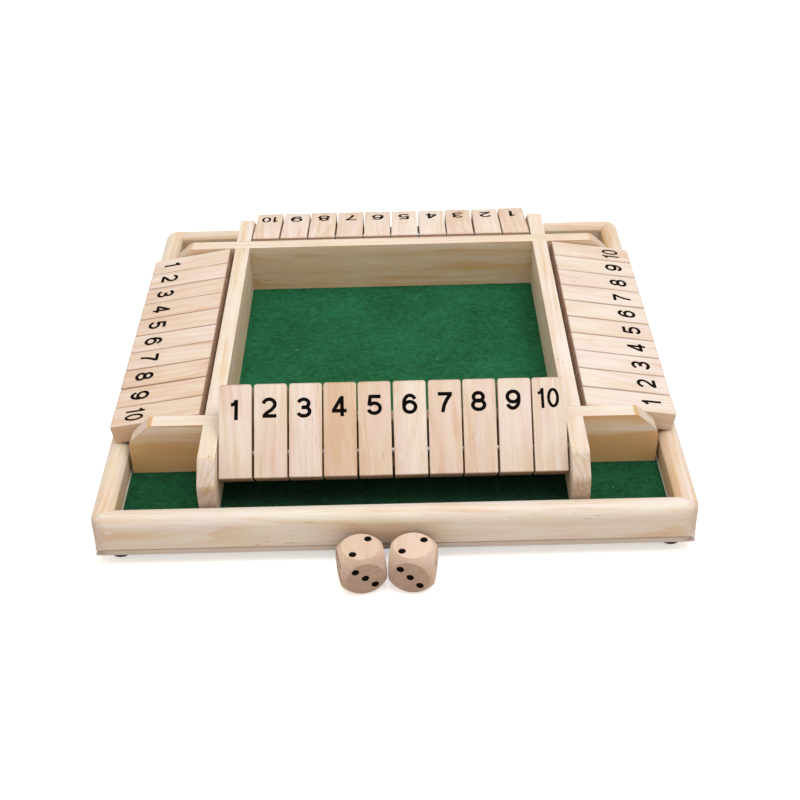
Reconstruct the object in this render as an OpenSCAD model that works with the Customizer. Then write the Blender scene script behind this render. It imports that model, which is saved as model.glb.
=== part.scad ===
// Shut the box game for four players: a square pine box with a felt tray in the middle,
// a row of ten number tiles on a steel rod along each side, and two wooden dice.
//
// Origin: middle of the footprint of the box and its dice, on the table. +Z is up and -Y
// is the side of the front player, where the dice stand. Everything is in millimetres.
// Pieces that repeat on the four sides are drawn once, on the front side, and turned.

/* [Box] */
// Side of the square box, across the widest line of its rails
box_w = 225; // [215:1:240]
// Height of the box, from the table to the top of the dividers
box_h = 35.5; // [34.5:0.5:37]
// Radius of the box's outer corners, seen from above
box_corner_r = 4; // [1:0.5:4.5]
// How far the middle of the box lies behind the middle of the whole footprint
box_y = 10; // [0:0.5:20]

/* [Base] */
// Diameter of each foot
foot_d = 8; // [6:0.5:10]
// Height of each foot
foot_h = 5; // [3:0.5:6]
// From the box's outer line to the centre of a foot
foot_inset = 8.8; // [8:0.1:12]
// Thickness of the base board in its middle
board_t = 7; // [6:0.5:7.5]
// Thickness of the base board's lip, under the rails
board_lip_t = 2.5; // [2:0.5:3]
// How far the lip stays behind the rails' outer line
board_inset = 0.6; // [0.5:0.1:3]
// Thickness of the felt
felt_t = 1; // [0.5:0.1:1.5]
// Strip of bare board between the felt and the rails
felt_margin = 0.8; // [0.2:0.1:2]

/* [Rails] */
// Width of a rail, from its inner face to its outer line
rail_w = 8.7; // [8:0.1:10]
// Height of the rails' crown above the table
rail_top = 22; // [20:0.5:23]
// Radius of the rails' rounded outer top edge
rail_round_r = 4.5; // [3:0.5:5]
// Radius of the gentle rise from the inner face to the crown
rail_ease_r = 5.5; // [5:0.5:12]
// Radius of the rails' outer bottom edge
rail_foot_r = 1.5; // [0.5:0.1:2]

/* [Dividers] */
// Side of the square tray, between the dividers' inner faces
tray_w = 132.2; // [132:0.1:134]
// Thickness of a divider
divider_t = 6.6; // [6:0.1:7]
// Gap between a divider's end and the rail
divider_end_gap = 1.4; // [0.5:0.1:3]
// Length cut off the top edge at a divider's end
divider_cut_x = 8.4; // [6:0.1:10]
// Height cut off the end face at a divider's end
divider_cut_z = 7.6; // [6:0.1:9]
// Radius where the cut meets the top edge and the end face
divider_cut_r = 4; // [2:0.5:5]
// Radius along a divider's top edges
divider_edge_r = 0.8; // [0.4:0.1:1.2]
// Play in the half-lap joints
lap_play = 0.1; // [0:0.05:0.2]

/* [Rods] */
// Diameter of a rod
rod_d = 2.5; // [2:0.1:3]
// From a divider's outer face to the rod's axis
rod_offset = 11.6; // [11.4:0.1:12]
// Height of the rods' axes above the table
rod_z = 30.1; // [29.5:0.1:30.5]
// Depth of the blind hole that holds each end of a rod
rod_socket = 4; // [2:0.5:5]
// Radial play of a tile on its rod
rod_play = 0.05; // [0.02:0.01:0.1]

/* [Tiles] */
// Number of tiles in a row
tile_count = 10; // [6:1:10]
// From one tile to the next along the rod
tile_pitch = 13.17; // [12.5:0.01:13.2]
// Gap between two tiles
tile_gap = 0.72; // [0.5:0.01:1]
// Thickness of a tile
tile_t = 8.2; // [7.5:0.1:8.5]
// From the rod's axis to the end with the number
tile_head = 26.2; // [24:0.1:27]
// From the rod's axis to the short end
tile_tail = 10.1; // [9:0.1:10.5]
// Radius of the number end's corners, seen from above
tile_corner_r = 1.2; // [0.5:0.1:2]
// Radius of the number end's edges, seen from the side
tile_head_r = 1.2; // [0.5:0.1:2]
// Radius of the short end's edges, seen from the side
tile_tail_r = 0.5; // [0.3:0.1:3]
// Clearance of a resting tile over what stops it
tile_rest_gap = 0.15; // [0.05:0.01:0.3]
// Row that leans in over the tray, while the others lie out over the rails
row_leaning_in = "front"; // [front, left, back, right, none]

/* [Dice] */
// Edge of a die
die_w = 16.5; // [15:0.5:18]
// Diameter of a die's pips
pip_d = 2.9; // [2:0.1:3.2]
// Depth of the pips
pip_depth = 0.3; // [0.1:0.05:0.6]
// From the middle of a face to its outer pips, along each edge
pip_step = 3.5; // [3.3:0.1:4]
// Diameter of the ball that rounds its corners
die_ball_d = 21.6; // [20:0.1:23]
// From the middle of the box to the dice's centres
dice_out = 123; // [122.5:0.5:130]
// Place of the left die along the front
die_left_x = -12.5; // [-90:0.5:-11]
// Place of the right die along the front
die_right_x = 6.5; // [6.5:0.5:90]
// Turn of the left die
die_left_turn = 11.7; // [-45:0.1:45]
// Turn of the right die
die_right_turn = -9.1; // [-45:0.1:45]

/* [Hidden] */
$fn = 48;

sides = ["front", "left", "back", "right"];
side_turns = [0, -90, 180, 90];

pine = [0.93, 0.80, 0.65];
pine_tones = [[0.95, 0.82, 0.68], [0.92, 0.77, 0.62], [0.94, 0.80, 0.64]];
dice_wood = [0.90, 0.76, 0.62];

rail_inner = box_w / 2 - rail_w;
rail_h = rail_top - foot_h - board_lip_t;
board_top = foot_h + board_t;
felt_top = board_top + felt_t;

divider_h = box_h - felt_top;
divider_in = tray_w / 2;
divider_out = divider_in + divider_t;
divider_end = rail_inner - divider_end_gap;
divider_mid = divider_in + divider_t / 2;

rod_out = divider_out + rod_offset;
tile_w = tile_pitch - tile_gap;

// A tile's slope when it lies on something round: the angle of the line from the rod to
// the round edge's centre, and the angle that the tile's half thickness and the edge add.
function edge_slope(run, rise) = atan2(rise, run);
function lift_slope(run, rise, edge_r) =
    asin((tile_t / 2 + edge_r + tile_rest_gap) / norm([run, rise]));

// Leaning in: the tile rests on the divider's outer top edge.
in_run = rod_offset + divider_edge_r;
in_rise = box_h - divider_edge_r - rod_z;
slope_in = edge_slope(in_run, in_rise) + lift_slope(in_run, in_rise, divider_edge_r);

// Lying out: the tile rests on the rail's crown.
out_run = box_w / 2 - rail_round_r - rod_out;
out_drop = rod_z - (rail_top - rail_round_r);
slope_out = edge_slope(out_run, out_drop) - lift_slope(out_run, out_drop, rail_round_r);

echo(slope_in = slope_in, slope_out = slope_out, travel = 180 - slope_in - slope_out);

// An arc's points, from angle a to angle b
function arc(centre, r, a, b, steps = 4) =
    [for (i = [0 : steps]) centre + r * [cos(a + (b - a) * i / steps), sin(a + (b - a) * i / steps)]];

// Puts a piece drawn on the front side of a box centred on the origin onto one of the sides
module on_side(s) {
    translate([0, box_y, 0])
        rotate([0, 0, side_turns[s]])
            children();
}

// Draws a shape given in a side's length and height, with its thickness along +Y
module upright(thickness) {
    translate([0, thickness, 0])
        rotate([90, 0, 0])
            linear_extrude(thickness)
                children();
}

// A square seen from above, with round corners
module round_square(w, corner_r) {
    corner_out = w / 2 - corner_r;
    union() {
        square([w, 2 * corner_out], center = true);
        square([2 * corner_out, w], center = true);
        for (x = [-corner_out, corner_out], y = [-corner_out, corner_out])
            translate([x, y])
                circle(corner_r);
    }
}

// The thick middle carries the felt, and the rails stand on the thin lip
module base_board() {
    lip_w = box_w - 2 * board_inset;
    color(pine)
        translate([0, box_y, foot_h])
            union() {
                linear_extrude(board_lip_t)
                    round_square(lip_w, box_corner_r - board_inset);
                translate([-rail_inner, -rail_inner, 0])
                    cube([2 * rail_inner, 2 * rail_inner, board_t]);
            }
}

module felt() {
    felt_w = 2 * (rail_inner - felt_margin);
    color([0.05, 0.33, 0.16])
        translate([-felt_w / 2, box_y - felt_w / 2, board_top])
            cube([felt_w, felt_w, felt_t]);
}

module feet() {
    foot_out = box_w / 2 - foot_inset;
    color([0.08, 0.08, 0.08])
        for (x = [-foot_out, foot_out], y = [-foot_out, foot_out])
            translate([x, box_y + y, 0])
                cylinder(d = foot_d, h = foot_h);
}

// Section of a rail: x runs from its inner face outwards, y from the lip up
module rail_section() {
    crown_x = rail_w - rail_round_r;
    intersection() {
        square([rail_w, rail_h]);
        union() {
            translate([0, rail_foot_r])
                square([rail_w, rail_h - rail_round_r - rail_foot_r]);
            square([rail_w - rail_foot_r, rail_foot_r]);
            translate([rail_w - rail_foot_r, rail_foot_r])
                circle(rail_foot_r);
            translate([crown_x, rail_h - rail_round_r])
                circle(rail_round_r);
            intersection() {
                square([crown_x, rail_h]);
                translate([crown_x, rail_h - rail_ease_r])
                    circle(rail_ease_r);
            }
        }
    }
}

// A length of the section, mitred by the two diagonals of the box
module rail() {
    color(pine)
        intersection() {
            translate([-box_w / 2, -rail_inner, foot_h + board_lip_t])
                rotate([90, 0, 90])
                    mirror([1, 0, 0])
                        linear_extrude(box_w)
                            rail_section();
            linear_extrude(box_h)
                intersection() {
                    round_square(box_w, box_corner_r);
                    polygon([[0, 0], [-box_w, -box_w], [box_w, -box_w]]);
                }
        }
}

// Outline of a divider seen from its side, with its two upper corners cut off
module divider_outline() {
    cut_turn = atan2(divider_cut_z, divider_cut_x);
    top_trim = divider_cut_r * tan(cut_turn / 2);
    end_trim = divider_cut_r * tan((90 - cut_turn) / 2);
    right_end = concat(
        arc([divider_end - divider_cut_r, divider_h - divider_cut_z - end_trim], divider_cut_r, 0, 90 - cut_turn),
        arc([divider_end - divider_cut_x - top_trim, divider_h - divider_cut_r], divider_cut_r, 90 - cut_turn, 90)
    );
    left_end = [for (i = [len(right_end) - 1 : -1 : 0]) [-right_end[i].x, right_end[i].y]];
    polygon(concat([[divider_end, 0]], right_end, left_end, [[-divider_end, 0]]));
}

// Section of a divider, with both top edges rounded
module divider_section() {
    r = divider_edge_r;
    union() {
        square([divider_t, divider_h - r]);
        translate([r, divider_h - r])
            square([divider_t - 2 * r, r]);
        for (x = [r, divider_t - r])
            translate([x, divider_h - r])
                circle(r);
    }
}

// A divider stands on the felt with its inner face to the tray. It is halved where it
// crosses its neighbours: from below on the front and back ones, from above on the others.
module divider(notch_from_below) {
    notch_w = divider_t + lap_play;
    notch_h = (divider_h + lap_play) / 2;
    notch_z = notch_from_below ? -1 : divider_h - notch_h;
    color(pine)
        translate([0, -divider_out, felt_top])
            difference() {
                intersection() {
                    upright(divider_t)
                        divider_outline();
                    translate([-divider_end, 0, 0])
                        rotate([90, 0, 90])
                            linear_extrude(2 * divider_end)
                                divider_section();
                }
                for (x = [-divider_mid, divider_mid])
                    translate([x - notch_w / 2, -1, notch_z])
                        cube([notch_w, divider_t + 2, notch_h + 1]);
                for (x = [-rod_out, rod_out])
                    translate([x, divider_t - rod_socket, rod_z - felt_top])
                        rotate([-90, 0, 0])
                            cylinder(d = rod_d, h = rod_socket + 1);
            }
}

module rod() {
    rod_len = tray_w + 2 * rod_socket;
    color([0.75, 0.76, 0.78])
        translate([-rod_len / 2, -rod_out, rod_z])
            rotate([0, 90, 0])
                cylinder(d = rod_d, h = rod_len);
}

// A tile seen from its side: x runs along it from the number end, y through its thickness
module tile_profile() {
    head_x = tile_head_r - tile_head;
    head_y = tile_t / 2 - tile_head_r;
    tail_x = tile_tail - tile_tail_r;
    tail_y = tile_t / 2 - tile_tail_r;
    polygon(concat(
        arc([head_x, -head_y], tile_head_r, 180, 270),
        arc([tail_x, -tail_y], tile_tail_r, 270, 360),
        arc([tail_x, tail_y], tile_tail_r, 0, 90),
        arc([head_x, head_y], tile_head_r, 90, 180)
    ));
}

// A tile seen from above, with the number end towards -Y
module tile_plan() {
    corner_x = tile_w / 2 - tile_corner_r;
    corner_y = tile_corner_r - tile_head;
    polygon(concat(
        [[tile_w / 2, tile_tail], [-tile_w / 2, tile_tail]],
        arc([-corner_x, corner_y], tile_corner_r, 180, 270),
        arc([corner_x, corner_y], tile_corner_r, 270, 360)
    ));
}

// A tile on its rod's axis, level, with its bore along X
module tile_body() {
    difference() {
        intersection() {
            translate([-tile_w / 2, 0, 0])
                rotate([90, 0, 90])
                    linear_extrude(tile_w)
                        tile_profile();
            translate([0, 0, -tile_t / 2])
                linear_extrude(tile_t)
                    tile_plan();
        }
        translate([-tile_w, 0, 0])
            rotate([0, 90, 0])
                cylinder(r = rod_d / 2 + rod_play, h = 2 * tile_w);
    }
}

// Tile n of a row, counted from the left of the player on that side
module tile(n, leaning_in) {
    turn = leaning_in ? slope_in - 180 : slope_out;
    color(pine_tones[n % len(pine_tones)])
        translate([(n - (tile_count + 1) / 2) * tile_pitch, -rod_out, rod_z])
            rotate([turn, 0, 0])
                tile_body();
}

// The pips' places on a face with n pips, in steps from its middle
function pips(n) = concat(
    n % 2 == 1 ? [[0, 0]] : [],
    n > 1 ? [[-1, -1], [1, 1]] : [],
    n > 3 ? [[-1, 1], [1, -1]] : [],
    n == 6 ? [[-1, 0], [1, 0]] : []
);

// The dimples of the face with n pips, on the face that looks up
module pip_holes(n) {
    for (p = pips(n))
        translate([p.x * pip_step, p.y * pip_step, die_w / 2 - pip_depth])
            cylinder(d = pip_d, h = pip_depth + 1);
}

// A cube that a ball cuts at its corners and edges, with 2 pips on top, 3 towards the
// front player, 1 on the right, and opposite faces that add up to 7
module die(x, turn) {
    face_turns = [[0, 90, 0], [0, 0, 0], [90, -90, 0], [-90, 0, 0], [180, 0, 0], [0, -90, 0]];
    color(dice_wood)
        translate([x, box_y - dice_out, die_w / 2])
            rotate([0, 0, turn])
                difference() {
                    intersection() {
                        cube(die_w, center = true);
                        sphere(d = die_ball_d);
                    }
                    for (n = [1 : 6])
                        rotate(face_turns[n - 1])
                            pip_holes(n);
                }
}

base_board();
felt();
feet();
for (s = [0 : 3])
    on_side(s) rail();
for (s = [0 : 3])
    on_side(s) divider(s % 2 == 0);
for (s = [0 : 3])
    on_side(s) rod();
for (s = [0 : 3], n = [1 : tile_count])
    on_side(s) tile(n, sides[s] == row_leaning_in);
die(die_left_x, die_left_turn);  // die_left
die(die_right_x, die_right_turn);  // die_right
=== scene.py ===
import math
import random

import bmesh
import bpy
from mathutils import Euler, Matrix, Vector


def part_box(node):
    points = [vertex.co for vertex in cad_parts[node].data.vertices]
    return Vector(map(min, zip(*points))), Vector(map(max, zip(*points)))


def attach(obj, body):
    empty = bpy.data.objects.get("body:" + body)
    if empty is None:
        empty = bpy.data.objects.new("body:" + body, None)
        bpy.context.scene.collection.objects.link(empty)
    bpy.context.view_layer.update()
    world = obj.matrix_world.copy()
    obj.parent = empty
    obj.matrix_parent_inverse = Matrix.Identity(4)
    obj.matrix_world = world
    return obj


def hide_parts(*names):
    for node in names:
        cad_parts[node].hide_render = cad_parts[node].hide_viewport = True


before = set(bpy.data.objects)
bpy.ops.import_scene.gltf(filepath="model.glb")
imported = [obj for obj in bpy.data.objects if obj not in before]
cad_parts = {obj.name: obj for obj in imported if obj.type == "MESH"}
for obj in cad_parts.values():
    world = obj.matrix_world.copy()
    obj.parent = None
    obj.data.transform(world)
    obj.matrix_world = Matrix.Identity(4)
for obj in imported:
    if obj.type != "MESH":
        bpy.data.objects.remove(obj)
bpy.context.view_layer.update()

# A shut the box game for four players, in pine, with a felt tray and two wooden dice.
# Lengths in the dictionaries are millimetres where no note says metres, and mm turns them to metres.
mm = 0.001
closeEnough = 0.02 * mm  # places nearer to each other than this are the same

boardLow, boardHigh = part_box("base_board")
feltLow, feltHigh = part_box("felt")
railLow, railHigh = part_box("rail_front")
dividerLow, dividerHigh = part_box("divider_front")
rodLow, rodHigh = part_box("rod_front")
feetLow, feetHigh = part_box("feet")
tileFirstLow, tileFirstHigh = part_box("tile_back_10")
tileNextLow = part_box("tile_back_9")[0]

boxCentre = Vector(((boardLow.x + boardHigh.x) / 2, (boardLow.y + boardHigh.y) / 2, 0))
sideTurns = {"front": 0, "left": -90, "back": 180, "right": 90}  # each side is the front one, turned
sides = list(sideTurns)
tileNumbers = range(1, 11)
middleTile = (tileNumbers[0] + tileNumbers[-1]) / 2
railInner = railHigh.y - boxCentre.y  # negative, as the front side lies towards -Y
railOuter = boxCentre.y - railLow.y  # half the box's width: the rail's own ends are rounded off
dividerInner = dividerHigh.y - boxCentre.y
dividerOuter = dividerLow.y - boxCentre.y
rodY = (rodLow.y + rodHigh.y) / 2 - boxCentre.y
rodZ = (rodLow.z + rodHigh.z) / 2
rodRadius = (rodHigh.z - rodLow.z) / 2
tilePitch = tileNextLow.x - tileFirstLow.x
tileWidth = tileFirstHigh.x - tileFirstLow.x


def setMode(mode):
    bpy.ops.object.mode_set(mode=mode)


def clearSelection():
    if bpy.context.object and bpy.context.object.mode != "OBJECT":
        setMode("OBJECT")
    bpy.ops.object.select_all(action="DESELECT")


def makeActive(piece):
    clearSelection()
    piece.select_set(True)
    bpy.context.view_layer.objects.active = piece


def applyModifier(piece, kind, **settings):
    makeActive(piece)
    step = piece.modifiers.new("step", kind)
    for name, value in settings.items():
        setattr(step, name, value)
    bpy.ops.object.modifier_apply(modifier=step.name)


def nameIt(piece, name):
    piece.name = name
    piece.data.name = name
    return piece


def bakePlace(piece, place=None):
    # moves the object's place, turn and size into its mesh
    makeActive(piece)
    if place:
        piece.matrix_world = place
    bpy.ops.object.transform_apply(location=True, rotation=True, scale=True)
    return piece


def addBlock(name, low, high):
    # a cube stretched between two corners
    clearSelection()
    low, high = Vector(low), Vector(high)
    bpy.ops.mesh.primitive_cube_add(size=1, location=(low + high) / 2)
    block = nameIt(bpy.context.object, name)
    block.scale = high - low
    return bakePlace(block)


def addObject(name, data):
    made = bpy.data.objects.new(name, data)
    bpy.context.scene.collection.objects.link(made)
    return made


def addPin(name, centre, radius, length, turn=(0, 0, 0), vertices=32):
    # a cylinder along Z before it is turned
    clearSelection()
    bpy.ops.mesh.primitive_cylinder_add(
        vertices=vertices, radius=radius, depth=length, location=centre,
        rotation=[math.radians(angle) for angle in turn])
    return bakePlace(nameIt(bpy.context.object, name))


def pick(piece, kind, wanted):
    # selects the corners (VERT) or the faces (FACE) that pass the test
    bpy.ops.mesh.select_mode(type=kind)
    bpy.ops.mesh.select_all(action="DESELECT")
    shape = bmesh.from_edit_mesh(piece.data)
    for part in shape.verts if kind == "VERT" else shape.faces:
        if wanted(part):
            part.select_set(True)
    if kind == "VERT":
        shape.select_flush(True)
    bmesh.update_edit_mesh(piece.data)


def extrudeBy(x, y, z):
    bpy.ops.mesh.extrude_region_move(TRANSFORM_OT_translate={"value": (x, y, z)})


def closeShape():
    # turns all faces outwards and leaves edit mode
    bpy.ops.mesh.select_all(action="SELECT")
    bpy.ops.mesh.normals_make_consistent(inside=False)
    setMode("OBJECT")


def facesUp(face):
    return face.normal.z > 0.9


def facesDown(face):
    return face.normal.z < -0.9


def near(value, target):
    return abs(value - target) < closeEnough


def both(test):
    # a test of an edge, which holds when both its ends pass
    return lambda a, b: test(a) and test(b)


anyEdge = both(lambda end: True)


def roundEdges(piece, radii, segments):
    # one bevel with its own radius for each group of edges: radii is a list of
    # (test of the edge's two ends, radius in mm), and the first test that holds counts
    widest = max(radius for test, radius in radii)
    weights = piece.data.attributes.new("bevel_weight_edge", "FLOAT", "EDGE")
    for edge in piece.data.edges:
        ends = [piece.data.vertices[index].co for index in edge.vertices]
        fitting = [radius for test, radius in radii if test(*ends)]
        weights.data[edge.index].value = fitting[0] / widest if fitting else 0
    applyModifier(piece, "BEVEL", limit_method="WEIGHT", width=widest * mm, segments=segments)
    piece.data.attributes.remove(piece.data.attributes["bevel_weight_edge"])


def cutByPlane(point, normal):
    # in edit mode, takes away what lies beyond a plane and closes the cut
    bpy.ops.mesh.select_all(action="SELECT")
    bpy.ops.mesh.bisect(plane_co=point, plane_no=Vector(normal).normalized(), threshold=0.001 * mm,
                        use_fill=True, clear_outer=True)


def combine(piece, other, operation="DIFFERENCE"):
    # cuts the other shape out of the piece, or welds it on with UNION
    applyModifier(piece, "BOOLEAN", operation=operation, solver="EXACT", object=other)
    bpy.data.objects.remove(other)


def joinPieces(pieces, name):
    clearSelection()
    for piece in pieces:
        piece.select_set(True)
    bpy.context.view_layer.objects.active = pieces[0]
    bpy.ops.object.join()
    return nameIt(pieces[0], name)


def copyPiece(master, name):
    makeActive(master)
    bpy.ops.object.duplicate(linked=False)
    return nameIt(bpy.context.object, name)


def sidePlace(side):
    # turns a piece drawn on the front side, about the box's middle, onto one of the sides
    return Matrix.Translation(boxCentre) @ Matrix.Rotation(math.radians(sideTurns[side]), 4, "Z")


def giveGrain(piece, along, seed, tone, lean=2.0):
    # stores where each point lay in the plank: x runs along the grain and y, z across the
    # growth rings, in millimetres, and how far each face looks along the grain. tone is a
    # number, or a function of a point of the piece
    draw = random.Random(seed)
    turn = {"x": Matrix.Identity(3), "y": Matrix.Rotation(math.radians(90), 3, "Z")}[along]
    roll = Matrix.Rotation(draw.uniform(0, 2 * math.pi), 3, "X")
    slant = Euler([0, *(math.radians(draw.uniform(-lean, lean)) for axis in "yz")]).to_matrix()
    pith = Vector([draw.uniform(*limits) for limits in woodLook["sawnFrom"]])
    corners = [value for vertex in piece.data.vertices
               for value in roll @ slant @ (turn @ vertex.co / mm) + pith]
    ends = [abs((turn @ face.normal).x) ** woodLook["endSharpness"] for face in piece.data.polygons]
    tones = [tone(vertex.co) if callable(tone) else tone for vertex in piece.data.vertices]
    for name, kind, domain, field, values in (
            ("grainPlace", "FLOAT_VECTOR", "POINT", "vector", corners),
            ("plankTone", "FLOAT", "POINT", "value", tones),
            ("endGrain", "FLOAT", "FACE", "value", ends)):
        piece.data.attributes.new(name, kind, domain).data.foreach_set(field, values)


def feed(tree, socket, value):
    if isinstance(value, bpy.types.NodeSocket):
        tree.links.new(value, socket)
    else:
        socket.default_value = value


def calc(tree, operation, first, second=0.0, clamp=False):
    node = tree.nodes.new("ShaderNodeMath")
    node.operation = operation
    node.use_clamp = clamp
    feed(tree, node.inputs[0], first)
    feed(tree, node.inputs[1], second)
    return node.outputs[0]


def vectorCalc(tree, operation, first, second):
    node = tree.nodes.new("ShaderNodeVectorMath")
    node.operation = operation
    feed(tree, node.inputs[0], first)
    feed(tree, node.inputs[1], second)
    return node.outputs["Value" if operation == "LENGTH" else "Vector"]


def noise(tree, vector, scale, detail=2.0, roughness=0.5, output="Fac"):
    node = tree.nodes.new("ShaderNodeTexNoise")
    feed(tree, node.inputs["Vector"], vector)
    node.inputs["Scale"].default_value = scale
    node.inputs["Detail"].default_value = detail
    node.inputs["Roughness"].default_value = roughness
    return node.outputs[output]


def grainNoise(tree, place, along, across, detail, roughness=0.5):
    # noise that is drawn out along the grain, with how fast it changes along and across it
    stretched = vectorCalc(tree, "MULTIPLY", place, (along, across, across))
    return noise(tree, stretched, 1.0, detail, roughness)


def remap(tree, value, low, high, toLow=0.0, toHigh=1.0):
    node = tree.nodes.new("ShaderNodeMapRange")
    node.interpolation_type = "SMOOTHSTEP"
    sockets = ("Value", "From Min", "From Max", "To Min", "To Max")
    for name, given in zip(sockets, (value, low, high, toLow, toHigh)):
        feed(tree, node.inputs[name], given)
    return node.outputs["Result"]


def mixColours(tree, share, first, second, blend="MIX"):
    node = tree.nodes.new("ShaderNodeMix")
    node.data_type = "RGBA"
    node.blend_type = blend
    feed(tree, node.inputs[0], share)
    feed(tree, node.inputs[6], first)
    feed(tree, node.inputs[7], second)
    return node.outputs[2]


def attribute(tree, name, output="Fac"):
    node = tree.nodes.new("ShaderNodeAttribute")
    node.attribute_name = name
    return node.outputs[output]


def newMaterial(name):
    material = bpy.data.materials.new(name)
    material.use_nodes = True
    tree = material.node_tree
    return material, tree, tree.nodes["Principled BSDF"]


def addBump(tree, shader, height, distance):
    bump = tree.nodes.new("ShaderNodeBump")
    bump.inputs["Distance"].default_value = distance
    feed(tree, bump.inputs["Height"], height)
    tree.links.new(bump.outputs["Normal"], shader.inputs["Normal"])


woodLook = {
    "ringWidth": 2.6,           # growth ring, mm
    "ringSpread": 3.0,          # how unlike each other their widths are
    "waver": 9.0,               # how far the rings wander, mm
    "lateWood": (0.25, 0.93),   # from where in a ring it darkens, and where it is darkest
    "ringFade": (0.25, 1.8),    # how much the rings show where they fade and where they stand out
    "endRings": 0.5,            # how much more they show in end grain
    "sawnFrom": ((-900, 900), (18, 60), (-25, 25)),   # where in its trunk a piece may come from
    # how much these add to the depth of the colour, at least and at most
    "streakDepth": (-0.15, 0.27), "blotchDepth": (-0.11, 0.13), "fibreDepth": (-0.09, 0.15),
    "fleckShare": 0.75, "fleckColour": (0.24, 0.13, 0.07, 1),
    "pinkTint": (1.0, 0.975, 0.99, 1), "strawTint": (0.99, 1.0, 0.94, 1),
    "endTint": (0.60, 0.53, 0.52, 1),
    "endSharpness": 1.5,        # how fast end grain gives way to side grain on a round
    "poreShare": (0.65, 1.0),   # how much of endTint shows, at least and at most
    "roughness": (0.50, 0.66), "specular": 0.35,
    # how much each of these raises or lowers the surface
    "relief": {"fibre": 0.6, "late": 0.35, "fleck": -0.8, "pores": 1.2},
    # noises: scale per mm, detail and roughness
    "waverNoise": (0.035, 2, 0.45), "spreadNoise": (0.12, 1, 0.5), "poreNoise": (2.2, 3, 0.6),
    "fibreNoise": (0.08, 2.1, 3, 0.6),   # along and across the grain
}
# Patches of noise: how fast they change along and across the grain, per mm, their detail and
# roughness, and the values of the noise between which a patch comes in.
woodPatches = {
    "streak": (0.018, 0.36, 3, 0.6, 0.32, 0.72),
    "blotch": (0.04, 0.11, 2, 0.5, 0.30, 0.70),
    "blush": (0.05, 0.16, 1, 0.5, 0.35, 0.65),
    "fleck": (0.16, 1.5, 1, 0.4, 0.68, 0.78),
    "cluster": (0.018, 0.14, 1, 0.5, 0.50, 0.66),
    "ringFade": (0.02, 0.12, 1, 0.5, 0.42, 0.62),
}


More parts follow.
